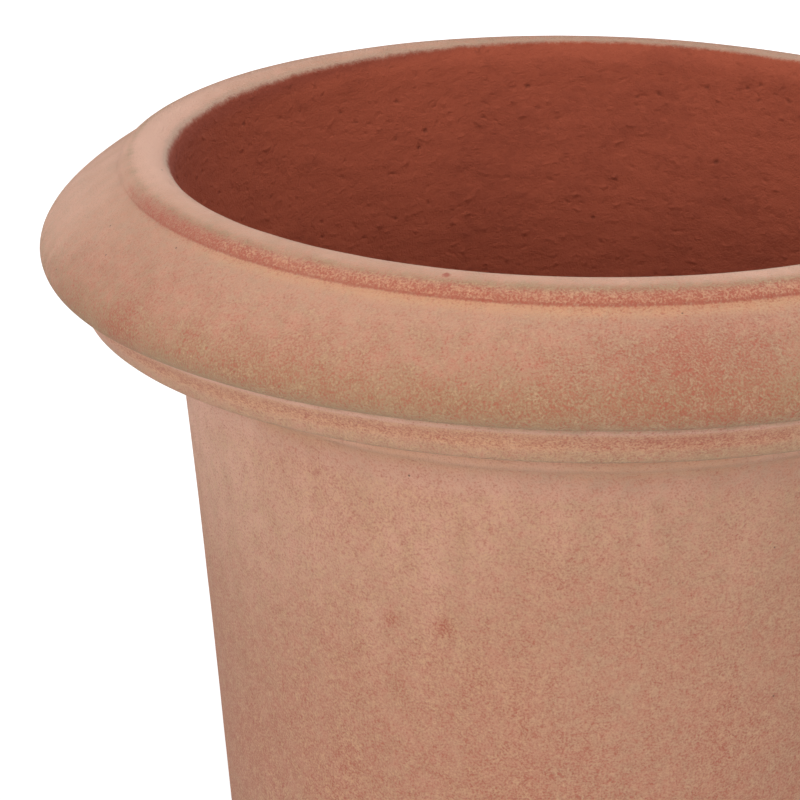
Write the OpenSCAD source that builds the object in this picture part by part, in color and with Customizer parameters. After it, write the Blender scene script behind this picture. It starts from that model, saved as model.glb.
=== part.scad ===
// Floor pot in fired clay with a rolled rim, and the stopper in its drain hole.
// Millimetres, +Z up, origin at the centre of the base, on the ground.

/* [Pot] */
// Height from the ground to the crest of the lip
pot_h = 440; // [380:5:520]
// Radius of the foot, where the wall meets the ground
base_r = 155; // [140:1:165]
// Lean of the straight part of the wall, in degrees from upright
wall_taper = 4.9; // [3.5:0.1:5.5]
// Height above the ground at which the wall starts to flare out to the neck
flare_h = 200; // [150:5:240]
// Outer radius of the neck, just under its bead
neck_r = 186.5; // [182:0.5:194]
// Thickness of the wall from neck to foot
wall_t = 15; // [11:0.5:18]

/* [Lip] */
// Radius of the mouth, below the rounded inner edge of the lip
mouth_r = 186; // [182:0.5:194]
// Width of the inner round, from the mouth to the crest
lip_in_w = 12.3; // [8:0.1:16]
// Height of the inner round
lip_in_h = 14; // [8:0.5:20]
// Width of the outer round, from the crest to the crease
lip_out_w = 15.5; // [10:0.5:20]
// Height of the outer round
lip_out_h = 8.3; // [6:0.1:12]

/* [Rolled rim] */
// How far the nose of the roll stands out past the crease of the lip
roll_reach = 36.2; // [30:0.2:46]
// Height from the crease down to the nose
roll_drop = 36; // [32:0.5:44]
// Angle below level at which the roll leaves the crease
roll_slope = 30; // [20:1:40]
// Length over which that slope holds
shoulder_len = 28; // [18:1:32]
// Length over which the roll stays upright above its nose
nose_len = 9.5; // [6:0.5:14]
// Width of the tight round under the nose
under_w = 5.2; // [4:0.2:8]
// Height of the tight round under the nose
under_h = 7.6; // [5:0.2:10]

/* [Collar] */
// Depth of the groove between the roll and the collar
groove_w = 6; // [4:0.5:9]
// Height of that groove
groove_h = 3.4; // [2:0.2:6]
// Height of the collar's sloping face
collar_h = 14.4; // [10:0.2:20]
// Width that the sloping face loses from top to bottom
collar_in = 8.4; // [5:0.2:12]
// Hollow of the sloping face
collar_hollow = 0.8; // [0.2:0.1:1.6]
// Radius of the collar's lower edge
collar_edge_r = 4.6; // [3:0.2:6]

/* [Neck bead] */
// Radius of the cove between the collar and the neck bead
cove_r = 9; // [6:0.5:12]
// Radius of the half-round bead at the neck
bead_r = 5; // [3.5:0.1:6.5]

/* [Foot and floor] */
// Radius of the outer edge of the foot
foot_edge_r = 5; // [3:0.5:8]
// Width of the flat ring that the pot stands on
ring_w = 24; // [16:1:32]
// Depth of the hollow under the floor
recess_h = 6; // [3:0.5:9]
// Width of the round from the standing ring up into the hollow
recess_round = 10; // [4:0.5:16]
// Thickness of the floor
floor_t = 18; // [14:0.5:24]
// Radius where the floor meets the wall inside
floor_fillet_r = 24; // [14:1:30]
// Radius of the drain hole
drain_r = 14; // [10:0.5:18]

/* [Stopper] */
// Gap round the stopper's shank in the drain hole
plug_clearance = 0.3; // [0.1:0.05:0.8]
// How far the flange reaches past the edge of the hole
flange_reach = 9; // [5:0.5:14]
// Thickness of the flange
flange_t = 4; // [3:0.5:6]
// Chamfer under the edge of the flange
flange_chamfer = 1; // [0.5:0.25:2]
// Height of the shallow dome on the flange
dome_h = 2; // [1:0.25:3]
// How far the shank stops short of the floor's underside
shank_short = 3; // [1:0.5:6]
// Chamfer at the end of the shank
shank_chamfer = 2; // [1:0.25:3]
// Radius of the neck under the finger knob
grip_neck_r = 5.5; // [4:0.25:7]
// Height of that neck
grip_neck_h = 6; // [4:0.5:10]
// Radius of the finger knob
knob_r = 8.5; // [8:0.25:11]
// Height of the finger knob
knob_h = 7; // [5:0.5:10]

/* [Hidden] */
// Facets round a full turn, and points along each curve of an outline
turn_fn = 240;
curve_n = 16;
edge_n = 8;
// Length by which a cutter passes the faces that it cuts
pass = 1;

clay = "#C0917A";
rubber = "#3A3735";

// Corners of the outer outline, as [radius, height]
crest = [mouth_r + lip_in_w, pot_h];
mouth = [mouth_r, pot_h - lip_in_h];
crease = [crest.x + lip_out_w, pot_h - lip_out_h];
nose = [crease.x + roll_reach, crease.y - roll_drop];
under = [nose.x - under_w, nose.y - under_h];
collar_top = [under.x - groove_w, under.y - groove_h];
collar_low = [collar_top.x - collar_in, collar_top.y - collar_h];
collar_mid = (collar_top + collar_low) / 2 - [2 * collar_hollow, 0];
collar_lean = atan2(collar_mid.x - collar_low.x, collar_mid.y - collar_low.y);
collar_edge = collar_low + collar_edge_r * [-cos(collar_lean), sin(collar_lean)];
cove = [neck_r + cove_r, collar_edge.y - collar_edge_r - cove_r];
bead = [neck_r, cove.y - bead_r];
neck = [neck_r, bead.y - bead_r];

// The straight cone of the wall, and where its flare begins
function cone_r(z) = base_r + z * tan(wall_taper);
flare = [cone_r(flare_h), flare_h];
flare_mid_h = (flare_h + neck.y) / 2;
flare_mid = [cone_r(flare_mid_h), flare_mid_h];
neck_lean = atan2(neck.x - flare_mid.x, neck.y - flare_mid.y);

// The floor and its round to the wall inside
floor_top = recess_h + floor_t;
fillet = [
    cone_r(floor_top + floor_fillet_r) - wall_t - floor_fillet_r / cos(wall_taper),
    floor_top + floor_fillet_r
];
ring_in_r = base_r - foot_edge_r - ring_w;
// Length over which the inner wall keeps its lean at the neck, and stands upright under the lip
inner_hold = 26;

// Point at a length and an angle from another point
function polar_from(p, len, ang) = p + len * [cos(ang), sin(ang)];
// Arc, also an elliptical one, from angle a0 to a1; skip = 1 leaves out its first point
function arc(c, rx, rz, a0, a1, n, skip = 0) =
    [for (i = [skip:n]) let (a = a0 + (a1 - a0) * i / n) [c.x + rx * cos(a), c.y + rz * sin(a)]];
// Smooth curve that starts towards b and arrives from c, without its two ends
function sweep(a, b, c, d, n) =
    [for (i = [1:n - 1]) let (t = i / n, s = 1 - t) s^3 * a + 3 * s^2 * t * b + 3 * s * t^2 * c + t^3 * d];
// Curve with one middle point, without its start
function bend(a, b, c, n) =
    [for (i = [1:n]) let (t = i / n, s = 1 - t) s^2 * a + 2 * s * t * b + t^2 * c];

// Lip: a rounded ring that stands on the roll
lip_line = concat(
    arc([crest.x, mouth.y], lip_in_w, lip_in_h, 180, 90, edge_n),
    arc([crest.x, crease.y], lip_out_w, lip_out_h, 90, 0, edge_n, 1)
);
// Roll: a long shoulder, an upright nose and a tight round beneath
roll_line = concat(
    sweep(crease, polar_from(crease, shoulder_len, -roll_slope), [nose.x, nose.y + nose_len], nose, curve_n),
    arc([under.x, nose.y], under_w, under_h, 0, -90, edge_n)
);
// Collar under the roll: a groove, a hollow sloping face and a round lower edge
collar_line = concat(
    [[collar_top.x, under.y], collar_top],
    bend(collar_top, collar_mid, collar_low, edge_n),
    arc(collar_edge, collar_edge_r, collar_edge_r, -collar_lean, -90, edge_n, 1)
);
// Neck: a cove in the shade of the collar, then the bead
neck_line = concat(
    arc(cove, cove_r, cove_r, 90, 180, edge_n),
    arc(bead, bead_r, bead_r, 90, -90, 2 * edge_n, 1)
);
// Wall: the flare, from the neck down, then the straight cone to the foot
flare_line = bend(neck, flare_mid, flare, curve_n);
foot_centre = [cone_r(foot_edge_r) - foot_edge_r / cos(wall_taper), foot_edge_r];
foot_line = concat(
    arc(foot_centre, foot_edge_r, foot_edge_r, -wall_taper, -90, edge_n),
    arc([ring_in_r - recess_round, 0], recess_round, recess_h, 0, 90, edge_n),
    [[0, recess_h]]
);
// Inside: the floor, its round, the wall at an even thickness, and the swell to the mouth
inner_neck = [neck.x - wall_t, neck.y];
inner_line = concat(
    [[0, floor_top]],
    arc(fillet, floor_fillet_r, floor_fillet_r, -90, -wall_taper, edge_n),
    [for (i = [len(flare_line) - 1:-1:0]) flare_line[i] - [wall_t, 0]],
    [inner_neck],
    sweep(
        inner_neck, polar_from(inner_neck, inner_hold, 90 - neck_lean),
        mouth - [0, inner_hold], mouth, curve_n
    )
);

module pot() {
    color(clay)
    difference() {
        rotate_extrude($fn = turn_fn)
        polygon(concat(lip_line, roll_line, collar_line, neck_line, flare_line, foot_line, inner_line));
        translate([0, 0, recess_h - pass])
        cylinder(r = drain_r, h = floor_t + 2 * pass, $fn = turn_fn);
    }
}

// Outline of the stopper, from the end of its shank up to the top of its knob
shank_r = drain_r - plug_clearance;
shank_end = recess_h + shank_short;
flange_r = drain_r + flange_reach;
flange_top = floor_top + flange_t;
flange_edge = [flange_r, floor_top + flange_chamfer];
knob_mid = flange_top + dome_h + grip_neck_h + knob_h / 2;
plug_line = concat(
    [
        [0, shank_end],
        [shank_r - shank_chamfer, shank_end],
        [shank_r, shank_end + shank_chamfer],
        [shank_r, floor_top],
        [flange_r - flange_chamfer, floor_top],
        flange_edge
    ],
    bend(flange_edge, [flange_r, flange_top], [grip_neck_r, flange_top + dome_h], curve_n),
    arc([grip_neck_r, knob_mid], knob_r - grip_neck_r, knob_h / 2, -90, 90, 2 * edge_n),
    [[0, knob_mid + knob_h / 2]]
);

module drain_plug() {
    color(rubber)
    rotate_extrude($fn = turn_fn)
    polygon(plug_line);
}

pot();
drain_plug();
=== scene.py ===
"""Looks of a rolled-rim floor pot in washed terracotta, with the rubber stopper of its drain hole.

The pot is a turned form. Geometry Nodes sweep its outline, in radius and height, round the upright axis and
leave the clay a little uneven, as pressed clay is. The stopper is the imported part's own piece, with a finish
of its own. Sizes are in metres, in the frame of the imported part.
"""
import logging
import math
from dataclasses import dataclass, field
from enum import Enum

import bpy
from mathutils import Matrix, Vector


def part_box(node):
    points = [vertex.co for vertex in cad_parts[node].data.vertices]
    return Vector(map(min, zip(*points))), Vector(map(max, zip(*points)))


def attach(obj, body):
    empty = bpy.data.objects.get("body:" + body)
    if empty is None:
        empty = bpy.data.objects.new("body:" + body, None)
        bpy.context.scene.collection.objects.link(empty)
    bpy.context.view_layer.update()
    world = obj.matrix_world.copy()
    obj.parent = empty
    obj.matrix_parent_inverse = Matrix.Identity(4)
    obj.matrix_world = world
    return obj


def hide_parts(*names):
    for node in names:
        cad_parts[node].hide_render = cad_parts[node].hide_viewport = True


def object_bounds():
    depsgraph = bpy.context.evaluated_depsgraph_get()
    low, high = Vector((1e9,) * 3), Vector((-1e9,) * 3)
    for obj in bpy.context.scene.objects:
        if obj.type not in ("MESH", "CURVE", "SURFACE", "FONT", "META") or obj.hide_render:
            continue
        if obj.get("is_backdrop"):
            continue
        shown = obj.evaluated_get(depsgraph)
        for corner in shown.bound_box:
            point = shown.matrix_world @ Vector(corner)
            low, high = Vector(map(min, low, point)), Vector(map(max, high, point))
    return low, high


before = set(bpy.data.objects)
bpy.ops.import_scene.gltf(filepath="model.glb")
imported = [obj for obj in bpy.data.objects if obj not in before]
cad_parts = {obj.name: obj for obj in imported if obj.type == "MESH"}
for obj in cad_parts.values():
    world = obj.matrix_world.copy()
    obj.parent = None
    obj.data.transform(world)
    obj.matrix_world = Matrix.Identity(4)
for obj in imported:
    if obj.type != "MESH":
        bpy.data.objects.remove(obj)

logging.basicConfig(level=logging.INFO, format="%(message)s")
LOG = logging.getLogger("floor_pot")
MM = 0.001
# Points of an outline that are closer than this are one point
SAME_POINT = 0.01 * MM
# Corners of a swept mesh that are closer than this are one corner
SAME_CORNER = 0.002 * MM
MATH = "ShaderNodeMath"
NOISE = "ShaderNodeTexNoise"
RANGE = "ShaderNodeMapRange"
ATTRIBUTE = "GeometryNodeInputNamedAttribute"
MIX = "ShaderNodeMix"
# Sockets of the Mix node when it mixes colours
MIX_UNDER, MIX_OVER, MIX_RESULT = 6, 7, 2
WHITE = (1.0, 1.0, 1.0, 1.0)
Tree = bpy.types.NodeTree
Node = bpy.types.Node
Socket = bpy.types.NodeSocket
Outputs = bpy.types.NodeOutputs
Material = bpy.types.Material
Object = bpy.types.Object
Point = tuple[float, float]
Place = tuple[float, float, float]
Colour = tuple[float, float, float, float]
# What an input can take: a node, one of its outputs, or a value
Feed = Node | Socket | float | str | Place | Colour


class Coat(Enum):
    """What varies along an outline. Each is a float attribute of the swept mesh.

    0 is none, and 1 is full. Below 0, a coat holds back what the patterns and marks add to it.
    """

    RUBBED = "wash_rubbed_off"
    CRUMBS = "cream_crumbs"
    # Painted light in ochre: a highlight below the crease, and light on the collar's top and the bead
    OCHRE = "ochre_painted_light"
    DUST = "olive_dust"
    # A paler wash, and painted light: under the roll, on the bead, at the top of the wall and at the left edge
    PALE = "pale_wash_and_painted_light"
    RAW = "raw_inside"
    TRUE = "left_true"


class Body(Enum):
    """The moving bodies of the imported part."""

    POT = "pot_body"
    STOPPER = "stopper"


def linear(code: str) -> Colour:
    """Turns an sRGB hex colour into linear light.

    Args:
        code: The colour, such as "#C0917A".

    Returns:
        Red, green, blue and alpha, from 0 to 1.
    """
    parts = [int(code[i:i + 2], 16) / 255 for i in (1, 3, 5)]
    red, green, blue = (c / 12.92 if c <= 0.04045 else ((c + 0.055) / 1.055) ** 2.4 for c in parts)
    return red, green, blue, 1.0


def add_node(tree: Tree, kind: str, feeds: dict[int | str, Feed] | None = None, **settings: str) -> Node:
    """Adds one node to a shader or geometry tree, with its settings and links.

    Args:
        tree: The tree that gets the node.
        kind: The node's type name.
        feeds: What goes into its inputs, by name or index: a socket or a node to link, or a value. Of a
            node, the first output in use is linked.
        settings: The node's own properties.

    Returns:
        The new node.
    """
    node = tree.nodes.new(kind)
    for name, value in settings.items():
        setattr(node, name, value)
    for key, value in (feeds or {}).items():
        if isinstance(value, Node):
            value = next(socket for socket in value.outputs if socket.enabled)
        if isinstance(value, Socket):
            tree.links.new(value, node.inputs[key])
        else:
            node.inputs[key].default_value = value
    return node


def add_object(name: str, data: bpy.types.ID) -> Object:
    """Adds an object to the scene.

    Args:
        name: Its name.
        data: Its mesh, lamp or camera.

    Returns:
        The object.
    """
    made = bpy.data.objects.new(name, data)
    bpy.context.scene.collection.objects.link(made)
    return made


def blank_tree(owner: Material | bpy.types.World) -> Tree:
    """Gives a material or the world an empty node tree.

    Args:
        owner: The material or the world.

    Returns:
        The tree.
    """
    owner.use_nodes = True
    owner.node_tree.nodes.clear()
    return owner.node_tree


@dataclass
class Outline:
    """A closed outline in radius and height. It is drawn from inside to outside over the rim."""

    points: list[Point] = field(default_factory=list)
    travel: list[float] = field(default_factory=list)

    @property
    def so_far(self) -> float:
        """The way along the outline up to its last point."""
        return self.travel[-1]

    def add(self, *points: Point) -> "Outline":
        """Adds corners one by one.

        Args:
            points: The corners.

        Returns:
            The outline.
        """
        for point in points:
            self.travel.append(self.so_far + math.dist(point, self.points[-1]) if self.points else 0.0)
            self.points.append(point)
        return self

    def straight(self, end: Point, steps: int) -> "Outline":
        """Adds a straight stretch to end, cut into steps, and returns the outline."""
        (r, z), (end_r, end_z) = self.points[-1], end
        return self.add(*[
            (r + (end_r - r) * i / steps, z + (end_z - z) * i / steps) for i in range(1, steps + 1)
        ])

    def arc(self, centre: Point, size: Point, start: float, end: float, steps: int) -> "Outline":
        """Adds a round stretch, which may be elliptical.

        Args:
            centre: The centre of the round.
            size: Its radius outwards, and its radius upwards.
            start: The angle where it starts, in degrees.
            end: The angle where it ends, in degrees.
            steps: How many steps it is cut into.

        Returns:
            The outline.
        """
        angles = [math.radians(start + (end - start) * i / steps) for i in range(steps + 1)]
        points = [(centre[0] + size[0] * math.cos(a), centre[1] + size[1] * math.sin(a)) for a in angles]
        joined = bool(self.points) and math.dist(points[0], self.points[-1]) < SAME_POINT
        return self.add(*points[1 if joined else 0:])

    def sweep(self, towards: Point, out_of: Point, end: Point, steps: int) -> "Outline":
        """Adds a smooth curve.

        Args:
            towards: The point that the curve starts towards.
            out_of: The point that it arrives from.
            end: Where it ends.
            steps: How many steps it is cut into.

        Returns:
            The outline.
        """
        corners = (self.points[-1], towards, out_of, end)
        for i in range(1, steps + 1):
            t = i / steps
            shares = ((1 - t) ** 3, 3 * (1 - t) ** 2 * t, 3 * (1 - t) * t ** 2, t ** 3)
            r, z = (sum(share * corner[k] for share, corner in zip(shares, corners)) for k in (0, 1))
            self.add((r, z))
        return self

    def bend(self, middle: Point, end: Point, steps: int) -> "Outline":
        """Adds a curve with one middle point.

        Args:
            middle: The point that both ends of the curve aim at.
            end: Where it ends.
            steps: How many steps it is cut into.

        Returns:
            The outline.
        """
        start = self.points[-1]
        towards, out_of = (
            ((far[0] + 2 * middle[0]) / 3, (far[1] + 2 * middle[1]) / 3) for far in (start, end)
        )
        return self.sweep(towards, out_of, end, steps)


@dataclass(frozen=True)
class Stops:
    """How strong a coat is along an outline: straight between the stops, and level past the outer two.

    Each stop is a way along the outline, in millimetres, and a strength.
    """

    stops: tuple[Point, ...]

    def at(self, way: float) -> float:
        """Finds the strength at one place.

        Args:
            way: The way along the outline to it, in millimetres.

        Returns:
            The strength.
        """
        if way <= self.stops[0][0]:
            return self.stops[0][1]
        for low, high in zip(self.stops, self.stops[1:]):
            if way < high[0]:
                return low[1] + (high[1] - low[1]) * (way - low[0]) / (high[0] - low[0])
        return self.stops[-1][1]


@dataclass(frozen=True)
class Turning:
    """Geometry Nodes that sweep an outline round the upright axis and press its surface in, unevenly.

    The outline goes in as a chain of points. Sag is the slow lean of a form that dried, lump is where hands
    pressed it, and drag is the rougher inside, which no tool has smoothed.
    """

    turns: int = 336
    sag: float = 0.9 * MM
    lump: float = 0.35 * MM
    drag: float = 1.1 * MM
    sag_size: float = 170 * MM
    lump_size: float = 34 * MM
    drag_size: float = 15 * MM
    seed: int = 7

    def inputs(self, rows: int, finish: Material) -> dict[str, tuple[str, float | Material]]:
        """Lists the tree's inputs.

        Args:
            rows: How many points the outline has.
            finish: The material.

        Returns:
            The socket type and the value of each input, by its name.
        """
        number, whole = "NodeSocketFloat", "NodeSocketInt"
        return {
            "Turns": (whole, self.turns),
            "Rows": (whole, rows),
            "Sag": (number, self.sag),
            "Sag size": (number, self.sag_size),
            "Lump": (number, self.lump),
            "Lump size": (number, self.lump_size),
            "Drag": (number, self.drag),
            "Drag size": (number, self.drag_size),
            "Seed": (whole, self.seed),
            "Material": ("NodeSocketMaterial", finish),
        }

    def tree(self, name: str, inputs: dict[str, tuple[str, float | Material]], coats: list[Coat]) -> Tree:
        """Builds the tree.

        Args:
            name: The tree's name.
            inputs: Its inputs after the outline.
            coats: The attributes that the outline hands on to the swept surface.

        Returns:
            The tree.
        """
        tree = bpy.data.node_groups.new(name, "GeometryNodeTree")
        tree.interface.new_socket("Geometry", in_out="OUTPUT", socket_type="NodeSocketGeometry")
        tree.interface.new_socket("Outline", in_out="INPUT", socket_type="NodeSocketGeometry")
        for label, (kind, _) in inputs.items():
            tree.interface.new_socket(label, in_out="INPUT", socket_type=kind)
        given = add_node(tree, "NodeGroupInput").outputs
        pressed = self.press(tree, given, self.revolve(tree, given, coats))
        real = add_node(tree, "GeometryNodeRealizeInstances", {"Geometry": pressed})
        dressed = add_node(tree, "GeometryNodeSetMaterial", {"Geometry": real, "Material": given["Material"]})
        add_node(tree, "NodeGroupOutput", {"Geometry": dressed})
        return tree

    @staticmethod
    def revolve(tree: Tree, given: Outputs, coats: list[Coat]) -> Node:
        """Adds the nodes that lay a grid round the axis, a row of it for each point of the outline.

        Args:
            tree: The tree.
            given: The outputs of its group input.
            coats: The attributes to hand on.

        Returns:
            The node that gives the closed surface.
        """
        columns = add_node(tree, MATH, {0: given["Turns"], 1: 1.0}, operation="ADD")
        grid = add_node(tree, "GeometryNodeMeshGrid", {
            "Size X": 1.0, "Size Y": 1.0, "Vertices X": columns, "Vertices Y": given["Rows"],
        })
        flat = add_node(tree, "ShaderNodeSeparateXYZ", {0: add_node(tree, "GeometryNodeInputPosition")})
        # Turned clockwise, so that the faces look outwards
        angle = add_node(tree, MATH, {0: flat.outputs["X"], 1: -math.tau}, operation="MULTIPLY")
        last = add_node(tree, MATH, {0: given["Rows"], 1: 1.0}, operation="SUBTRACT")
        share = add_node(tree, MATH, {0: flat.outputs["Y"], 1: 0.5}, operation="ADD")
        way = add_node(tree, MATH, {0: share, 1: last}, operation="MULTIPLY")
        row = add_node(tree, "FunctionNodeFloatToInt", {0: way}, rounding_mode="ROUND")
        shape = grid.outputs["Mesh"]
        for coat in coats:
            named = add_node(tree, ATTRIBUTE, {"Name": coat.value})
            value = add_node(tree, "GeometryNodeSampleIndex", {
                "Geometry": given["Outline"], "Value": named, "Index": row,
            })
            shape = add_node(tree, "GeometryNodeStoreNamedAttribute", {
                "Geometry": shape, "Name": coat.value, "Value": value,
            })
        corner = add_node(tree, "GeometryNodeSampleIndex", {
            "Geometry": given["Outline"], "Value": add_node(tree, "GeometryNodeInputPosition"), "Index": row,
        }, data_type="FLOAT_VECTOR")
        turned = add_node(tree, "ShaderNodeVectorRotate", {
            "Vector": corner, "Axis": (0.0, 0.0, 1.0), "Angle": angle,
        }, rotation_type="AXIS_ANGLE")
        laid = add_node(tree, "GeometryNodeSetPosition", {"Geometry": shape, "Position": turned})
        return add_node(tree, "GeometryNodeMergeByDistance", {"Geometry": laid, "Distance": SAME_CORNER})

    @staticmethod
    def press(tree: Tree, given: Outputs, shape: Node) -> Node:
        """Adds the nodes that press the surface in a little, and never out past its outline.

        Args:
            tree: The tree.
            given: The outputs of its group input.
            shape: The node that gives the surface.

        Returns:
            The node that gives the pressed surface.
        """
        place = add_node(tree, "GeometryNodeInputPosition")
        depth: Feed = 0.0
        for label, only_on in (("Sag", None), ("Lump", None), ("Drag", Coat.RAW)):
            pitch = add_node(tree, MATH, {0: 1.0, 1: given[label + " size"]}, operation="DIVIDE")
            noise = add_node(tree, NOISE, {
                "Vector": place, "W": given["Seed"], "Scale": pitch,
            }, noise_dimensions="4D")
            dent = add_node(tree, MATH, {0: noise, 1: given[label]}, operation="MULTIPLY")
            if only_on:
                coat = add_node(tree, ATTRIBUTE, {"Name": only_on.value})
                dent = add_node(tree, MATH, {0: dent, 1: coat}, operation="MULTIPLY")
            depth = add_node(tree, MATH, {0: depth, 1: dent}, operation="ADD")
        # From -1, a push against the normal, to 0 where the form is left true
        true = add_node(tree, ATTRIBUTE, {"Name": Coat.TRUE.value})
        held = add_node(tree, MATH, {0: true, 1: 1.0}, operation="SUBTRACT")
        inwards = add_node(tree, MATH, {0: depth, 1: held}, operation="MULTIPLY")
        push = add_node(tree, "ShaderNodeVectorMath", {
            0: add_node(tree, "GeometryNodeInputNormal"), "Scale": inwards,
        }, operation="SCALE")
        return add_node(tree, "GeometryNodeSetPosition", {"Geometry": shape, "Offset": push})

    def mesh(self, name: str, outline: Outline, coats: dict[Coat, Stops], finish: Material) -> Object:
        """Turns an outline into a plain closed mesh.

        Args:
            name: The piece's name.
            outline: The outline.
            coats: How strong each coat is along it.
            finish: The material.

        Returns:
            The piece, with no modifier left on it.
        """
        rows = len(outline.points)
        chain = bpy.data.meshes.new(name + "_outline")
        chain.from_pydata([(r, 0.0, z) for r, z in outline.points], [(i, i + 1) for i in range(rows - 1)], [])
        for coat, stops in coats.items():
            layer = chain.attributes.new(coat.value, "FLOAT", "POINT")
            layer.data.foreach_set("value", [stops.at(way / MM) for way in outline.travel])
        piece = add_object(name, chain)
        inputs = self.inputs(rows, finish)
        modifier = piece.modifiers.new("turning", "NODES")
        modifier.node_group = self.tree(name + "_turning", inputs, list(coats))
        for item in modifier.node_group.interface.items_tree:
            if item.in_out == "INPUT" and item.name in inputs:
                modifier[item.identifier] = inputs[item.name][1]
        depsgraph = bpy.context.evaluated_depsgraph_get()
        made = bpy.data.meshes.new_from_object(
            piece.evaluated_get(depsgraph), preserve_all_data_layers=True, depsgraph=depsgraph
        )
        piece.modifiers.clear()
        piece.data = made
        made.name = name
        made.polygons.foreach_set("use_smooth", [True] * len(made.polygons))
        return piece


@dataclass(frozen=True)
class Film:
    """A film of colour that shows where a pattern and a coat add up to enough."""

    colour: str
    low: float
    high: float
    most: float = 1.0

    def over(self, tree: Tree, under: Feed, where: Feed) -> Socket:
        """Lays the film over a colour.

        Args:
            tree: The material's tree.
            under: The colour beneath.
            where: What says how much of the film there is. It shows from low on, and in full from high on.

        Returns:
            The colour with the film on it.
        """
        share = add_node(tree, RANGE, {
            "Value": where, "From Min": self.low, "From Max": self.high, "To Max": self.most,
        }, interpolation_type="SMOOTHSTEP")
        mixed = add_node(tree, MIX, {
            0: share, MIX_UNDER: under, MIX_OVER: linear(self.colour),
        }, data_type="RGBA")
        return mixed.outputs[MIX_RESULT]


@dataclass(frozen=True)
class Pattern:
    """A cloudy pattern in the clay, by the real size of its largest patches.

    Along an axis where stretch is under 1 it is drawn out, and where stretch is over 1 it is squeezed.
    """

    size: float
    detail: float
    rough: float
    stretch: Place = (1.0, 1.0, 1.0)


@dataclass(frozen=True)
class Mark:
    """A spot where the pot was knocked, wetted or wiped, which adds to a coat within its reach.

    A strength below 0 takes from the coat.
    """

    place: Place
    reach: float
    strength: float

    def on(self, tree: Tree, place: Socket, under: Feed) -> Node:
        """Adds the mark to a coat.

        Args:
            tree: The material's tree.
            place: The object's own coordinates.
            under: The coat so far.

        Returns:
            The node that gives the coat with the mark.
        """
        away = add_node(tree, "ShaderNodeVectorMath", {0: place, 1: self.place}, operation="DISTANCE")
        near = add_node(tree, RANGE, {
            "Value": away, "From Min": self.reach, "From Max": 0.0, "To Max": self.strength,
        }, interpolation_type="SMOOTHSTEP")
        return add_node(tree, MATH, {0: under, 1: near}, operation="ADD")


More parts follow.
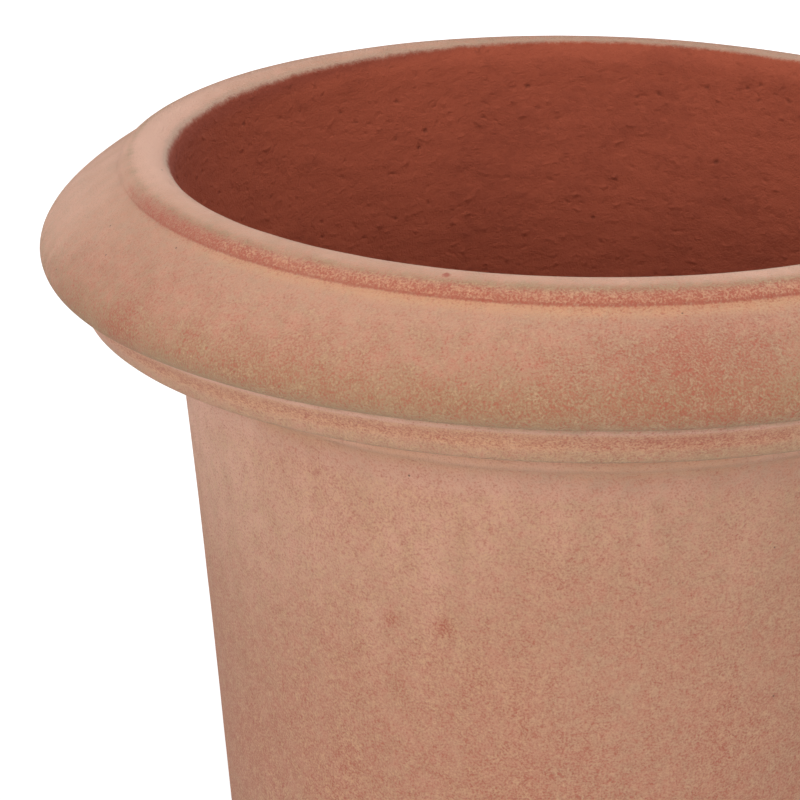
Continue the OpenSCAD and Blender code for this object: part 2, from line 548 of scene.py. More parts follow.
@dataclass(frozen=True)
class WashedTerracotta:
    """Fired clay, pressed in a mould, with a thin lime wash rubbed back by hand.

    The wash makes the outside chalk-like and pinkish, with no gloss. Red clay shows in the hollows of the
    grain and cream crumbs stand out of it, the more so the harder it is rubbed. Olive dust has settled under
    the mouldings, and thinly on the wall. Light is painted in too: an ochre highlight below the crease, ochre
    and a paler wash on the collar's top and the bead under the roll, and a paler wash at the top of the wall
    and at the left edge. The inside was never washed: it is red, a little denser and dragged by hand, so that
    its pimples catch the light. At the left, just below the wash, it is painted darker, as painted shade.
    """

    wash: str = "#CD977C"
    mist: Film = Film("#AC967A", -0.6, 0.9, 0.55)
    haze: Film = Film("#B2735A", 0.0, 0.8, 0.85)
    # Paler wash, and painted light on the collar's top, the bead, the top of the wall and the left edge
    pale: Film = Film("#E9BAA3", 0.1, 1.0)
    # Painted light: an ochre highlight below the crease, and ochre light on the collar's top and the bead,
    # under the roll
    ochre: Film = Film("#D6A27A", 0.15, 0.9, 0.7)
    dust: Film = Film("#A48A66", 0.15, 1.0, 0.8)
    red: Film = Film("#B25A45", 0.0, 1.3, 0.85)
    cream: Film = Film("#E3B18A", 0.0, 1.1, 0.7)
    fringe: Film = Film("#BFA18A", -0.29, -0.08, 0.55)
    bare: Film = Film("#A9563F", -0.11, 0.08)
    deep: Film = Film("#8C4433", 0.42, 0.75, 0.5)
    # Painted shade on the strip just below the wash, reaching farther down at the left
    shaded_strip: Film = Film("#874132", 0.0, -0.4, 0.75)
    pit: Film = Film("#743A2B", 0.225, 0.16, 0.45)
    pinhole: Film = Film("#5A382B", 0.028, 0.018, 0.8)
    relief: float = 1.8 * MM
    # The share of the grit that is dragged flat inside
    smoothed: float = 0.45
    drag: float = 2.7 * MM
    pimple: float = 0.4 * MM
    pinhole_gap: float = 22 * MM
    roughness: float = 0.86
    diffuse_roughness: float = 0.6
    ior: float = 1.5
    gloss: float = 0.22
    bare_gloss: float = 0.1
    bloom: float = 0.12
    # How far the wash runs into the mouth, how much deeper at the left, and how much farther down the painted
    # shade below it reaches at the left
    wash_depth: float = 0.25
    tilt_most: float = 0.3
    tilt_side: float = 190 * MM
    shade_spread: float = 2.3
    # Rubbed harder: the roll at the left and in front, the lip at the back, two spots on the wall, and a nick
    # on the lip. Less rubbed: the lip at the left.
    scuffs: tuple[Mark, ...] = (
        Mark((-0.200, -0.150, 0.393), 24 * MM, 0.35),
        Mark((0.050, -0.237, 0.408), 80 * MM, 0.28),
        Mark((-0.200, 0.000, 0.436), 120 * MM, -1.0),
        Mark((0.020, 0.196, 0.438), 120 * MM, 0.30),
        Mark((-0.0567, -0.1696, 0.2683), 9 * MM, 0.4),
        Mark((-0.0805, -0.1597, 0.2683), 6 * MM, 0.45),
        Mark((-0.0552, -0.1958, 0.4395), 3 * MM, 1.6),
    )
    # Less of the ochre painted highlight, and fewer crumbs, on the lip at the left
    less_ochre_and_crumbs: tuple[Mark, ...] = (
        Mark((-0.200, 0.000, 0.436), 160 * MM, -1.6),
        Mark((-0.165, -0.130, 0.431), 70 * MM, -0.22),
    )
    # More dust on the roll in front. Less dust at its left, so that its edge there is painted lighter, as
    # painted light.
    dust_and_lit_edge: tuple[Mark, ...] = (
        Mark((0.060, -0.240, 0.392), 240 * MM, 0.30),
        Mark((-0.248, -0.030, 0.395), 120 * MM, -0.26),
    )
    # Paler, as painted light: the rim, the roll's edge and the wall at the left, and the crest in front. Less
    # pale: the lip at the back.
    paler_and_lit: tuple[Mark, ...] = (
        Mark((-0.220, 0.000, 0.420), 190 * MM, 0.53),
        Mark((-0.190, -0.020, 0.290), 170 * MM, 0.18),
        Mark((0.020, 0.199, 0.438), 160 * MM, -0.50),
        Mark((0.075, -0.183, 0.440), 60 * MM, 0.22),
        Mark((-0.248, -0.030, 0.395), 120 * MM, 0.15),
    )

    @staticmethod
    def patterns(tree: Tree, place: Socket) -> dict[str, Node]:
        """Adds the clay's patterns.

        Args:
            tree: The material's tree.
            place: The object's own coordinates.

        Returns:
            The pattern nodes by name. Each gives a number that is 0 on average.
        """
        kinds = {
            "grit": Pattern(1.0 * MM, 3.0, 0.6),
            "crumb": Pattern(3.5 * MM, 3.0, 0.6),
            "mottle": Pattern(9 * MM, 3.0, 0.55),
            "blotch": Pattern(45 * MM, 3.0, 0.55),
            "cloud": Pattern(140 * MM, 3.0, 0.5),
            "streak": Pattern(14 * MM, 3.0, 0.5, (1.0, 1.0, 0.12)),
            "drag": Pattern(20 * MM, 2.0, 0.45, (1.0, 1.0, 2.0)),
            "pimple": Pattern(5 * MM, 0.0, 0.4, (1.0, 1.0, 1.3)),
        }
        made = {}
        for seed, (name, kind) in enumerate(kinds.items()):
            laid = add_node(tree, "ShaderNodeMapping", {"Vector": place, "Scale": kind.stretch})
            noise = add_node(tree, NOISE, {
                "Vector": laid, "W": float(seed), "Scale": 1 / kind.size,
                "Detail": kind.detail, "Roughness": kind.rough,
            }, noise_dimensions="4D")
            made[name] = add_node(tree, MATH, {0: noise, 1: 0.5}, operation="SUBTRACT")
        return made

    @staticmethod
    def mixed(tree: Tree, start: Feed, shares: dict[Node, float]) -> Feed:
        """Adds shares of patterns to a number.

        Args:
            tree: The material's tree.
            start: The number.
            shares: How much of each pattern is added.

        Returns:
            The sum.
        """
        for pattern, share in shares.items():
            start = add_node(tree, MATH, {0: pattern, 1: share, 2: start}, operation="MULTIPLY_ADD")
        return start

    def build(self) -> Material:
        """Builds the material.

        Returns:
            The finished material.
        """
        material = bpy.data.materials.new("washed_terracotta")
        tree = blank_tree(material)
        place = add_node(tree, "ShaderNodeTexCoord").outputs["Object"]
        pattern = self.patterns(tree, place)
        coat = {
            one: add_node(tree, "ShaderNodeAttribute", attribute_name=one.value).outputs["Fac"]
            for one in Coat
        }
        tilt = self.tilt(tree, place)
        edge = self.edge(tree, tilt, pattern, coat)
        colour = self.fringe.over(tree, self.outside(tree, place, pattern, coat), edge)
        colour = self.bare.over(tree, colour, edge)
        bare = add_node(tree, RANGE, {"Value": edge, "From Min": self.bare.low, "From Max": self.bare.high})
        # Painted shade: the strip just below the wash is darkened, farther down at the left
        shaded_strip = self.mixed(tree, edge, {tilt: -self.shade_spread})
        shader = add_node(tree, "ShaderNodeBsdfPrincipled", {
            "Base Color": self.inside(tree, pattern, bare, shaded_strip, colour),
            "Roughness": self.roughness, "Diffuse Roughness": self.diffuse_roughness, "IOR": self.ior,
            "Specular IOR Level": add_node(tree, MATH, {
                0: bare, 1: self.bare_gloss - self.gloss, 2: self.gloss,
            }, operation="MULTIPLY_ADD"),
            "Sheen Weight": add_node(tree, MATH, {
                0: bare, 1: -self.bloom, 2: self.bloom,
            }, operation="MULTIPLY_ADD"),
            "Normal": self.surface(tree, pattern, bare),
        })
        add_node(tree, "ShaderNodeOutputMaterial", {"Surface": shader})
        return material

    def tilt(self, tree: Tree, place: Socket) -> Node:
        """Adds how much deeper the wash runs at the left, where the pot was dipped at a tilt."""
        side = add_node(tree, "ShaderNodeSeparateXYZ", {0: place}).outputs["X"]
        return add_node(tree, RANGE, {"Value": side, "From Max": -self.tilt_side, "To Max": self.tilt_most})

    def edge(self, tree: Tree, tilt: Node, pattern: dict[str, Node], coat: dict[Coat, Socket]) -> Feed:
        """Adds the wash's ragged edge inside the lip.

        Args:
            tree: The material's tree.
            tilt: How much deeper the wash runs at the left.
            pattern: The clay's patterns.
            coat: The coats along the outline.

        Returns:
            A number that is 0 on the edge, and over 0 on the raw clay.
        """
        depth = add_node(tree, MATH, {0: coat[Coat.RAW], 1: self.wash_depth}, operation="SUBTRACT")
        ragged = {pattern["grit"]: 0.18, pattern["crumb"]: 0.12, pattern["mottle"]: 0.15}
        return self.mixed(tree, depth, {tilt: -1.0, **ragged})

    def outside(
        self, tree: Tree, place: Socket, pattern: dict[str, Node], coat: dict[Coat, Socket]
    ) -> Feed:
        """Adds the washed outside.

        Args:
            tree: The material's tree.
            place: The object's own coordinates.
            pattern: The clay's patterns.
            coat: The coats along the outline.

        Returns:
            The outside's colour.
        """
        worn, crumbs, ochre, dusty = (coat[one] for one in (Coat.RUBBED, Coat.CRUMBS, Coat.OCHRE, Coat.DUST))
        for mark in self.scuffs:
            worn = mark.on(tree, place, worn)
        for mark in self.less_ochre_and_crumbs:
            ochre, crumbs = mark.on(tree, place, ochre), mark.on(tree, place, crumbs)
        # Dust, and less of it at the roll's left edge, as painted light
        for mark in self.dust_and_lit_edge:
            dusty = mark.on(tree, place, dusty)
        patchy = {pattern["mottle"]: 0.4, pattern["blotch"]: 0.32, pattern["streak"]: 0.22}
        worn = self.mixed(tree, worn, patchy)
        # Dust lies only where its coat does, however large a stain is
        dusty = add_node(tree, MATH, {0: dusty, 1: coat[Coat.DUST]}, operation="MULTIPLY")
        dusty = self.mixed(tree, dusty, {
            pattern["mottle"]: 0.7, pattern["cloud"]: 0.5, pattern["crumb"]: 0.5, pattern["grit"]: 0.5,
        })
        # The paler wash carries painted light where the roll and the rim shade the pot, and at the left edge
        pale = coat[Coat.PALE]
        # Paler marks, with painted light at the left edge and on the crest in front
        for mark in self.paler_and_lit:
            pale = mark.on(tree, place, pale)
        pale = self.mixed(tree, pale, {pattern["cloud"]: 0.8, pattern["streak"]: 0.5})
        # Ochre is painted light: a highlight below the crease, and light on the collar and the bead
        ochre = self.mixed(tree, ochre, {pattern["blotch"]: 0.8, pattern["grit"]: 0.4})
        misty = self.mixed(tree, 0.0, {pattern["crumb"]: 2.0, pattern["grit"]: 1.0, pattern["mottle"]: 0.8})
        low = self.mixed(tree, worn, {pattern["grit"]: -3.3, pattern["crumb"]: -0.9})
        high = self.mixed(tree, crumbs, {pattern["grit"]: 2.5, pattern["crumb"]: 1.3, **patchy})
        # Where bubbles in the clay broke. Pinholes are drawn 1.2 mm wide, so that one is a few pixels wide.
        holes = add_node(tree, "ShaderNodeTexVoronoi", {
            "Vector": place, "Scale": 1 / self.pinhole_gap,
        }, feature="F1")
        colour: Feed = linear(self.wash)
        for film, where in (
            (self.mist, misty), (self.haze, worn), (self.pale, pale), (self.ochre, ochre), (self.dust, dusty),
            (self.red, low), (self.cream, high), (self.pinhole, holes),
        ):
            colour = film.over(tree, colour, where)
        return colour

    def inside(self, tree: Tree, pattern: dict[str, Node], bare: Node, shaded_strip: Feed, under: Feed) -> Feed:
        """Adds the raw inside's darker patches, painted shade on the strip just below the wash, and the pits.

        Args:
            tree: The material's tree.
            pattern: The clay's patterns.
            bare: The node that is 1 on the raw inside.
            shaded_strip: How far below the wash's edge it is, and below 0 where it gets painted shade.
            under: The colour beneath.

        Returns:
            The colour.
        """
        patchy = self.mixed(tree, 0.5, {
            pattern["blotch"]: 0.6, pattern["cloud"]: 0.6, pattern["drag"]: 0.4, pattern["crumb"]: 0.6,
        })
        pitted = add_node(tree, MATH, {0: pattern["pimple"], 1: 0.5}, operation="ADD")
        colour = under
        # The middle film is painted shade below the wash; the patches and the pits are the clay's
        for film, where in ((self.deep, patchy), (self.shaded_strip, shaded_strip), (self.pit, pitted)):
            over = film.over(tree, colour, where)
            mixed = add_node(tree, MIX, {0: bare, MIX_UNDER: colour, MIX_OVER: over}, data_type="RGBA")
            colour = mixed.outputs[MIX_RESULT]
        return colour

    def surface(self, tree: Tree, pattern: dict[str, Node], bare: Node) -> Node:
        """Adds the relief: fine grit outside, and pimples and drag marks inside.

        Args:
            tree: The material's tree.
            pattern: The clay's patterns.
            bare: The node that is 1 on the raw inside.

        Returns:
            The node that gives the normal.
        """
        # Only the strongest bumps and pits stand clear of the dragged surface. Their cube is about 1/70.
        spot = add_node(tree, MATH, {0: pattern["pimple"], 1: 3.0}, operation="POWER")
        lumps = self.mixed(tree, 0.0, {
            spot: 70 * self.pimple, pattern["drag"]: self.drag, pattern["crumb"]: 0.13 * self.drag,
        })
        inner = add_node(tree, MATH, {0: lumps, 1: bare}, operation="MULTIPLY")
        grain = add_node(tree, MATH, {
            0: bare, 1: -self.smoothed * self.relief, 2: self.relief,
        }, operation="MULTIPLY_ADD")
        height = add_node(tree, MATH, {0: pattern["grit"], 1: grain, 2: inner}, operation="MULTIPLY_ADD")
        return add_node(tree, "ShaderNodeBump", {"Strength": 1.0, "Distance": 1.0, "Height": height})


@dataclass(frozen=True)
class StopperRubber:
    """Black rubber, moulded, with a bloom of dry dust: matt, and greyer where the dust lies."""

    rubber: str = "#35322F"
    dust: Film = Film("#6B6259", 0.45, 0.85, 0.6)
    speck: float = 3 * MM
    relief: float = 0.1 * MM
    relief_strength: float = 0.6
    roughness: float = 0.62
    ior: float = 1.52

    def build(self) -> Material:
        """Builds the material.

        Returns:
            The finished material.
        """
        material = bpy.data.materials.new("stopper_rubber")
        tree = blank_tree(material)
        place = add_node(tree, "ShaderNodeTexCoord").outputs["Object"]
        cloud = add_node(tree, NOISE, {
            "Vector": place, "Scale": 1 / self.speck, "Detail": 5.0, "Roughness": 0.65,
        })
        bump = add_node(tree, "ShaderNodeBump", {
            "Strength": self.relief_strength, "Distance": self.relief, "Height": cloud,
        })
        shader = add_node(tree, "ShaderNodeBsdfPrincipled", {
            "Base Color": self.dust.over(tree, linear(self.rubber), cloud),
            "Roughness": self.roughness, "IOR": self.ior, "Normal": bump,
        })
        add_node(tree, "ShaderNodeOutputMaterial", {"Surface": shader})
        return material


@dataclass
class ClayPot:
    """The fired clay body: lip, rolled rim, collar, neck bead, wall, foot and floor in one outline.

    Its marks say how far along the outline the landmarks lie from which its coats are measured.
    """

    height: float
    base_r: float = 155 * MM
    taper: float = math.radians(4.9)
    flare_h: float = 200 * MM
    neck_r: float = 186.5 * MM
    wall: float = 15 * MM
    mouth_r: float = 186 * MM
    lip_in: Point = (12.3 * MM, 14 * MM)
    lip_out: Point = (15.5 * MM, 8.3 * MM)
    roll_reach: float = 36.2 * MM
    roll_drop: float = 36 * MM
    roll_slope: float = math.radians(30)
    shoulder: float = 28 * MM
    nose_hold: float = 9.5 * MM
    under: Point = (5.2 * MM, 7.6 * MM)
    groove: Point = (6 * MM, 3.4 * MM)
    collar: Point = (8.4 * MM, 14.4 * MM)
    collar_hollow: float = 0.8 * MM
    collar_edge: float = 4.6 * MM
    cove: float = 9 * MM
    bead: float = 5 * MM
    bead_round: float = 5 * MM
    foot_edge: float = 5 * MM
    ring: float = 24 * MM
    recess: Point = (10 * MM, 6 * MM)
    floor: float = 18 * MM
    floor_round: float = 24 * MM
    drain_r: float = 14 * MM
    inner_hold: float = 26 * MM
    turning: Turning = Turning()
    finish: WashedTerracotta = WashedTerracotta()
    marks: dict[str, float] = field(default_factory=dict)

    def cone(self, z: float) -> float:
        """Outer radius of the wall's straight cone at a height."""
        return self.base_r + z * math.tan(self.taper)

    def lip(self, line: Outline) -> Point:
        """Adds the lip, a rounded ring that stands on the roll.

        Args:
            line: The outline, which ends at the mouth.

        Returns:
            The crease at the lip's foot.
        """
        crest_r = self.mouth_r + self.lip_in[0]
        crease = (crest_r + self.lip_out[0], self.height - self.lip_out[1])
        line.arc((crest_r, self.height - self.lip_in[1]), self.lip_in, 180, 90, 10)
        self.marks["crest"] = line.so_far
        line.arc((crest_r, crease[1]), self.lip_out, 90, 0, 14)
        self.marks["crease"] = line.so_far
        return crease

    def roll(self, line: Outline, crease: Point) -> None:
        """Adds the roll: a long shoulder, an upright nose and a tight round beneath.

        Args:
            line: The outline, which ends at the crease.
            crease: The crease.
        """
        nose = (crease[0] + self.roll_reach, crease[1] - self.roll_drop)
        shoulder = (
            crease[0] + self.shoulder * math.cos(self.roll_slope),
            crease[1] - self.shoulder * math.sin(self.roll_slope),
        )
        line.sweep(shoulder, (nose[0], nose[1] + self.nose_hold), nose, 26)
        self.marks["nose"] = line.so_far
        line.arc((nose[0] - self.under[0], nose[1]), self.under, 0, -90, 10)
        self.marks["under"] = line.so_far

    def collar_ring(self, line: Outline) -> float:
        """Adds the groove and the collar under the roll.

        Args:
            line: The outline, which ends under the roll.

        Returns:
            The height of the collar's underside.
        """
        low = line.points[-1]
        top = (low[0] - self.groove[0], low[1] - self.groove[1])
        line.bend((top[0], low[1]), top, 6)
        self.marks["groove"] = line.so_far
        foot = (top[0] - self.collar[0], top[1] - self.collar[1])
        middle = ((top[0] + foot[0]) / 2 - 2 * self.collar_hollow, (top[1] + foot[1]) / 2)
        line.bend(middle, foot, 12)
        lean = math.atan2(middle[0] - foot[0], middle[1] - foot[1])
        edge = (foot[0] - self.collar_edge * math.cos(lean), foot[1] + self.collar_edge * math.sin(lean))
        line.arc(edge, (self.collar_edge, self.collar_edge), -math.degrees(lean), -90, 8)
        self.marks["collar"] = line.so_far
        return edge[1] - self.collar_edge

    def neck(self, line: Outline, under: float) -> None:
        """Adds the cove under the collar, the bead at the neck, and the wash that rounds its lower corner.

        Args:
            line: The outline, which ends under the collar.
            under: The height of the collar's underside.
        """
        line.straight((self.neck_r + self.cove, under), 3)
        line.arc((self.neck_r + self.cove, under - self.cove), (self.cove, self.cove), 90, 180, 8)
        middle = under - self.cove - self.bead
        drop = math.sqrt(self.bead ** 2 + 2 * self.bead * self.bead_round)
        meet = math.degrees(math.atan2(drop, self.bead_round))
        line.arc((self.neck_r, middle), (self.bead, self.bead), 90, -meet, 14)
        self.marks["neck"] = line.so_far
        size = (self.bead_round, self.bead_round)
        line.arc((self.neck_r + self.bead_round, middle - drop), size, 180 - meet, 180, 6)

    def rim(self, line: Outline) -> Point:
        """Adds the whole rim, from the mouth out and down.

        Args:
            line: The outline, which ends at the mouth.

        Returns:
            The neck under the bead.
        """
        self.roll(line, self.lip(line))
        self.neck(line, self.collar_ring(line))
        return line.points[-1]

    def inside(self, line: Outline, neck: Point) -> None:
        """Adds the floor, the wall inside at an even thickness, and its swell to the mouth.

        Args:
            line: The outline, which starts at the drain hole.
            neck: The neck outside, under the bead.
        """
        floor_top = self.recess[1] + self.floor
        height = floor_top + self.floor_round
        centre = (self.cone(height) - self.wall - self.floor_round / math.cos(self.taper), height)
        line.straight((centre[0], floor_top), 14)
        line.arc(centre, (self.floor_round, self.floor_round), -90, -math.degrees(self.taper), 10)
        middle_h = (self.flare_h + neck[1]) / 2
        middle = self.cone(middle_h)
        inner_neck = (neck[0] - self.wall, neck[1])
        line.straight((self.cone(self.flare_h) - self.wall, self.flare_h), 28)
        line.bend((middle - self.wall, middle_h), inner_neck, 24)
        lean = math.atan2(neck[0] - middle, neck[1] - middle_h)
        towards = (
            inner_neck[0] + self.inner_hold * math.sin(lean), inner_neck[1] + self.inner_hold * math.cos(lean)
        )
        mouth = (self.mouth_r, self.height - self.lip_in[1])
        line.sweep(towards, (mouth[0], mouth[1] - self.inner_hold), mouth, 16)

    def outside(self, line: Outline) -> None:
        """Adds the wall outside, the foot ring and the shallow recess under the floor.

        Args:
            line: The outline, which ends at the neck.
        """
        middle_h = (self.flare_h + line.points[-1][1]) / 2
        line.bend((self.cone(middle_h), middle_h), (self.cone(self.flare_h), self.flare_h), 24)
        foot_r = self.cone(self.foot_edge) - self.foot_edge / math.cos(self.taper)
        low = (foot_r + self.foot_edge * math.cos(self.taper), self.foot_edge * (1 - math.sin(self.taper)))
        line.straight(low, 24)
        self.marks["foot"] = line.so_far
        size = (self.foot_edge, self.foot_edge)
        line.arc((foot_r, self.foot_edge), size, -math.degrees(self.taper), -90, 8)
        ring_in = self.base_r - self.foot_edge - self.ring
        line.straight((ring_in, 0.0), 3)
        line.arc((ring_in - self.recess[0], 0.0), self.recess, 0, 90, 6)
        line.straight((self.drain_r, self.recess[1]), 8)

    def outline(self) -> Outline:
        """Draws the whole outline, closed round the drain hole.

        Returns:
            The outline.
        """
        # The rim is drawn by itself first, because the inside needs to know where its neck is
        neck = self.rim(Outline().add((self.mouth_r, self.height - self.lip_in[1])))
        floor_edge = (self.drain_r, self.recess[1] + self.floor)
        line = Outline().add(floor_edge)
        self.inside(line, neck)
        self.rim(line)
        self.outside(line)
        return line.straight(floor_edge, 4)

    def coats(self) -> dict[Coat, Stops]:
        """Says where the wash is rubbed off, dusty or missing, by millimetres from the landmarks.

        Returns:
            The strength of each coat.
        """
        names = ("crest", "crease", "nose", "under", "groove", "collar", "neck", "foot")
        crest, crease, nose, under, groove, collar, neck, foot = (self.marks[name] / MM for name in names)
        return {
            Coat.RUBBED: Stops((
                (crest + 5, -0.2), (crease - 11, 0.0), (crease - 8, 0.42), (crease - 4, 0.7),
                (crease - 1.2, 0.62), (crease - 0.8, 0.85), (crease - 0.3, 0.6), (crease + 0.3, -0.1),
                (crease + 8, 0.08), (nose - 34, 0.2), (nose - 14, 0.3), (nose, 0.42), (under - 5, 0.25),
                (under, 0.0), (groove + 2, 0.1), (groove + 4, 0.45), (groove + 9, 0.55),
                (groove + 12, 0.22), (collar - 5, 0.05), (neck - 18, 0.0), (neck, 0.05),
                (neck + 2, 0.12), (neck + 7, 0.1), (neck + 14, 0.23), (neck + 60, 0.22),
                (neck + 110, 0.28), (neck + 160, 0.36),
            )),
            Coat.CRUMBS: Stops((
                (crest + 5, -0.3), (crease - 9, 0.1), (crease - 6, 0.38), (crease - 2, 0.3),
                (crease - 1, -0.3), (crease + 3, -0.1), (crease + 12, 0.08), (nose - 20, 0.04),
                (under - 4, 0.02), (under, 0.08), (groove + 4, 0.0), (groove + 8, 0.3),
                (groove + 12, 0.35), (collar - 3, 0.2), (collar, -0.1), (neck - 16, -0.3),
                (neck + 8, -0.2), (neck + 16, 0.34), (neck + 60, 0.28), (neck + 160, 0.26),
            )),
            # Painted light: a highlight line below the crease, and a lighter collar top and bead under the
            # roll
            Coat.OCHRE: Stops((
                (crease - 0.8, 0.0), (crease, 0.75), (crease + 2, 0.7), (crease + 10, 0.0),
                (groove, 0.0), (groove + 3, 0.8), (groove + 9, 0.8), (collar - 4, 0.0), (neck - 16, 0.0),
                (neck - 12, 0.6), (neck + 2, 0.6), (neck + 9, 0.0),
            )),
            Coat.DUST: Stops((
                (crest + 1, 0.0), (crease - 9.5, 0.76), (crease - 7, 0.58), (crease - 4, 0.0),
                (crease + 4, 0.0), (crease + 18, 0.5), (nose - 20, 0.6), (nose - 8, 0.8),
                (nose + 2, 0.92), (under, 0.95), (groove, 0.5), (groove + 1, 0.0), (groove + 9, 0.1),
                (groove + 13, 0.6), (collar - 1, 0.72), (collar + 6, 0.1), (neck - 5, 0.0),
                (neck + 8, 0.0), (neck + 16, 0.5),
            )),
            # Paler on the lip. Painted light on the collar's top, on the bead and along the top of the wall,
            # in the shade of the roll and the rim
            Coat.PALE: Stops((
                (crest - 10, 0.5), (crest, 0.55), (crest + 6, 0.35), (crease - 8, 0.0), (nose - 12, 0.0),
                (under, 0.0), (groove, 0.72), (groove + 4, 0.58), (groove + 12, 0.36), (collar, 0.05),
                (neck - 12, 0.75), (neck - 4, 0.75), (neck + 1, 0.3), (neck + 8, 0.42),
                (neck + 40, 0.32), (neck + 120, 0.05),
            )),
            Coat.RAW: Stops(((crest - 20, 1.0), (crest, 0.0), (foot + 30, 0.0), (foot + 34, 1.0))),
            Coat.TRUE: Stops(((12, 1.0), (22, 0.0), (foot - 12, 0.0), (foot, 1.0))),
        }

    def make(self) -> Object:
        """Makes the dressed pot and seats it on its body.

        Returns:
            The piece.
        """
        outline = self.outline()
        piece = self.turning.mesh("clay_pot", outline, self.coats(), self.finish.build())
        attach(piece, Body.POT.value)
        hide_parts("pot")
        return piece


@dataclass
class DrainStopper:
    """The rubber stopper: shank, flange with a shallow dome, and a finger knob."""

    finish: StopperRubber = StopperRubber()

    def make(self) -> Object:
        """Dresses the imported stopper.

        Returns:
            The piece.
        """
        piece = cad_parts["drain_plug"]
        piece.data.materials.clear()
        piece.data.materials.append(self.finish.build())
        return piece


@dataclass(frozen=True)
class Lamp:
    """A soft square lamp: where it hangs, the length of its side and its power in watts."""

    name: str
    place: Place
    size: float
    power: float


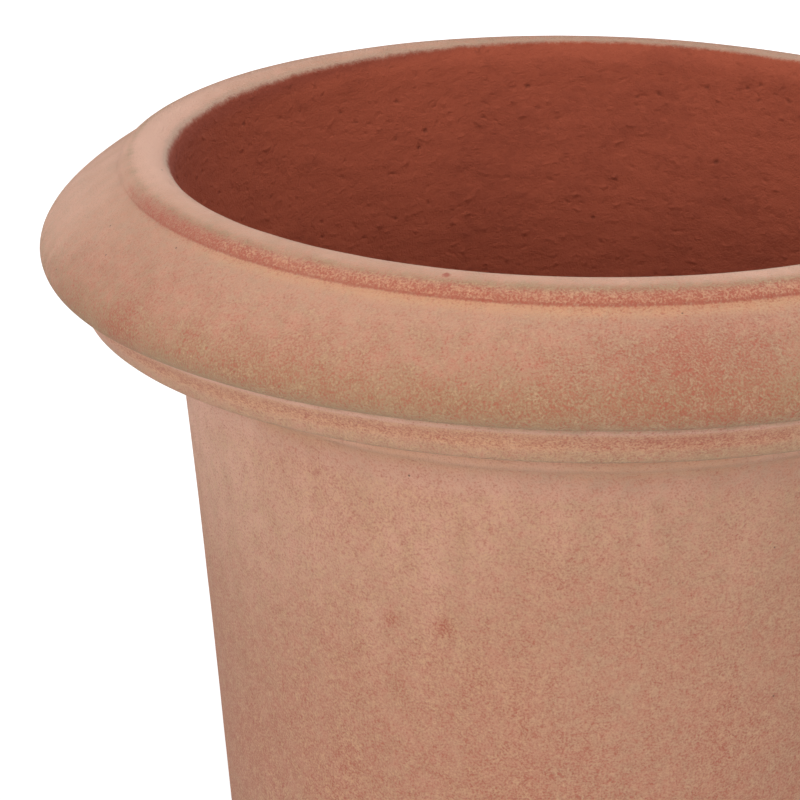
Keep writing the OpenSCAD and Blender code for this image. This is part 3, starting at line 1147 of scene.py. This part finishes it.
@dataclass
class Studio:
    """A plain pale studio: floor, soft lamps, white surroundings and the photograph's camera.

    Angles are in radians, the lens and the sensor in millimetres. Each glow is a distance from the pot, and
    how bright the floor is seen there.
    """

    lip_height: float
    distance: float = 1937.4 * MM
    elevation: float = 0.2791
    lens: float = 189.0
    sensor: float = 36.0
    yaw: float = 0.0446
    pitch: float = 0.3402
    roll: float = -0.0041
    floor_half: float = 12.0
    floor_drop: float = 0.3 * MM
    floor_grey: float = 0.5
    glow_near: Point = (0.4, 0.72)
    glow_far: Point = (2.2, 0.9)
    surround: float = 0.42
    aim_height: float = 300 * MM
    lamps: tuple[Lamp, ...] = (
        Lamp("key", (-1.1, -1.5, 0.8), 1.1, 18.2),
        Lamp("fill", (1.1, -1.5, 0.8), 1.1, 11.8),
        Lamp("top", (0.0, -0.5, 2.0), 1.4, 10.0),
        Lamp("back", (0.5, 1.8, 0.9), 1.1, 9.0),
    )

    def camera(self) -> None:
        """Sets the camera in front of the pot and above it, where the photograph was taken from."""
        data = bpy.data.cameras.new("camera")
        data.lens = self.lens
        data.sensor_width = self.sensor
        data.clip_start, data.clip_end = 0.05, 60.0
        camera = add_object("camera", data)
        yaw, pitch, roll = (
            Matrix.Rotation(angle, 3, axis)
            for angle, axis in ((self.yaw, "Z"), (-self.pitch, "X"), (self.roll, "Y"))
        )
        turn = yaw @ pitch @ roll
        right, ahead, up = turn.col
        basis = Matrix((right, up, -ahead)).transposed().to_4x4()
        back = Vector((0.0, -math.cos(self.elevation), math.sin(self.elevation))) * self.distance
        camera.matrix_world = Matrix.Translation(back + Vector((0.0, 0.0, self.lip_height))) @ basis
        bpy.context.scene.camera = camera

    def hang(self, lamp: Lamp) -> None:
        """Hangs a lamp so that it faces the pot.

        Args:
            lamp: The lamp.
        """
        data = bpy.data.lights.new(lamp.name, "AREA")
        data.shape = "SQUARE"
        data.size = lamp.size
        data.energy = lamp.power
        hung = add_object(lamp.name, data)
        hung.location = lamp.place
        aim = Vector((0.0, 0.0, self.aim_height)) - Vector(lamp.place)
        hung.rotation_euler = aim.to_track_quat("-Z", "Y").to_euler()

    @staticmethod
    def seen(tree: Tree) -> Node:
        """Adds the nodes that tell what is seen from what only lights.

        Args:
            tree: The tree of a material or of the world.

        Returns:
            The node that gives 1 to what is seen, straight, mirrored or through, and otherwise 0.
        """
        paths = add_node(tree, "ShaderNodeLightPath").outputs
        kinds = {0: paths["Is Camera Ray"], 1: paths["Is Glossy Ray"]}
        return add_node(tree, MATH, {
            0: add_node(tree, MATH, kinds, operation="MAXIMUM"), 1: paths["Is Transmission Ray"],
        }, operation="MAXIMUM")

    def floor(self) -> None:
        """Lays the pale floor, which the camera sees as white where nothing shades it.

        It lies a hair beneath the foot ring, so that the two faces don't coincide.
        """
        half = self.floor_half
        data = bpy.data.meshes.new("floor")
        corners = [(-half, -half, 0), (half, -half, 0), (half, half, 0), (-half, half, 0)]
        data.from_pydata(corners, [], [(0, 1, 2, 3)])
        floor = add_object("floor", data)
        floor.location.z = -self.floor_drop
        material = bpy.data.materials.new("studio_floor")
        tree = blank_tree(material)
        grey = self.floor_grey
        plain = add_node(tree, "ShaderNodeBsdfDiffuse", {"Color": (grey, grey, grey, 1.0)})
        # Far from the pot the lamps fade, and the backdrop is seen a little brighter to make up for it
        place = add_node(tree, "ShaderNodeTexCoord").outputs["Object"]
        away = add_node(tree, "ShaderNodeVectorMath", {0: place}, operation="LENGTH").outputs["Value"]
        (near, near_glow), (far, far_glow) = self.glow_near, self.glow_far
        strength = add_node(tree, RANGE, {
            "Value": away, "From Min": near, "From Max": far, "To Min": near_glow, "To Max": far_glow,
        })
        glow = add_node(tree, "ShaderNodeEmission", {"Color": WHITE, "Strength": strength})
        both = add_node(tree, "ShaderNodeAddShader", {0: plain, 1: glow})
        lit = add_node(tree, "ShaderNodeMixShader", {0: self.seen(tree), 1: plain, 2: both})
        add_node(tree, "ShaderNodeOutputMaterial", {"Surface": lit})
        data.materials.append(material)
        floor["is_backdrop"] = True

    def surroundings(self) -> None:
        """Sets an even white world, which the camera sees as full white."""
        world = bpy.data.worlds.new("surroundings")
        bpy.context.scene.world = world
        tree = blank_tree(world)
        soft = add_node(tree, "ShaderNodeBackground", {"Color": WHITE, "Strength": self.surround})
        full = add_node(tree, "ShaderNodeBackground", {"Color": WHITE, "Strength": 1.0})
        mixed = add_node(tree, "ShaderNodeMixShader", {0: self.seen(tree), 1: soft, 2: full})
        add_node(tree, "ShaderNodeOutputWorld", {"Surface": mixed})

    def build(self) -> None:
        """Builds the studio."""
        self.camera()
        self.floor()
        self.surroundings()
        for lamp in self.lamps:
            self.hang(lamp)
        bpy.context.scene.view_settings.view_transform = "Standard"


def main() -> None:
    """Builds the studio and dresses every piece."""
    cad_low, cad_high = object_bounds()
    Studio(lip_height=cad_high.z).build()
    sub_assemblies = {Body.POT: ClayPot(height=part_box("pot")[1].z), Body.STOPPER: DrainStopper()}
    for body, sub_assembly in sub_assemblies.items():
        piece = sub_assembly.make()
        LOG.info("%s, on %s: %d faces", piece.name, body.value, len(piece.data.polygons))


if __name__ == "__main__":
    main()
